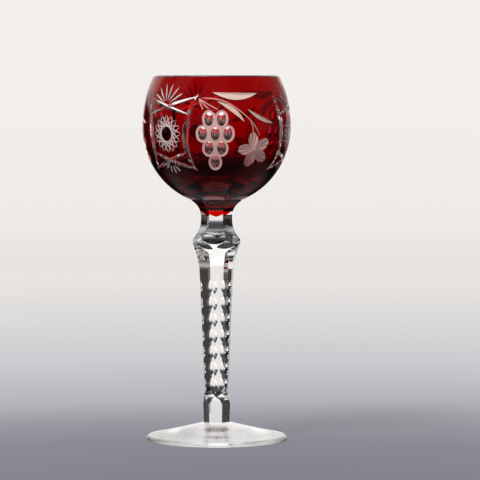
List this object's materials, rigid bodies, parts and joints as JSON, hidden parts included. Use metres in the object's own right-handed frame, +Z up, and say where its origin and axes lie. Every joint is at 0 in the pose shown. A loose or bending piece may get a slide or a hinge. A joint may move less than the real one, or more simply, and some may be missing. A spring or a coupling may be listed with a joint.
{
  "type": "stemmed wine glass",
  "caption": "Stemmed wine glass with a round ruby-cased bowl cut through to clear crystal, a faceted notched stem with a knop, and a round foot.",
  "frame": {"origin": "centre of the flat ground ring under the foot, on the surface that the glass stands on", "axes": "+Z up along the axis of the glass, -Y to the front"},
  "size_m": [0.084, 0.0838, 0.2049],
  "materials": {
    "clear_crystal": "polished clear lead crystal",
    "ruby_glass": "polished ruby overlay glass"
  },
  "bodies": {
    "root": {"foot": "clear_crystal", "stem": "clear_crystal", "crystal_bowl": "clear_crystal", "ruby_casing": "ruby_glass", "star_field_1": "ruby_glass", "star_field_2": "ruby_glass", "star_field_3": "ruby_glass", "star_button_1": "ruby_glass", "star_button_2": "ruby_glass", "star_button_3": "ruby_glass", "corner_upper_left_1": "ruby_glass", "corner_upper_left_2": "ruby_glass", "corner_upper_left_3": "ruby_glass", "corner_upper_right_1": "ruby_glass", "corner_upper_right_2": "ruby_glass", "corner_upper_right_3": "ruby_glass", "corner_lower_left_1": "ruby_glass", "corner_lower_left_2": "ruby_glass", "corner_lower_left_3": "ruby_glass", "corner_lower_right_1": "ruby_glass", "corner_lower_right_2": "ruby_glass", "corner_lower_right_3": "ruby_glass"}
  },
  "joints": []
}
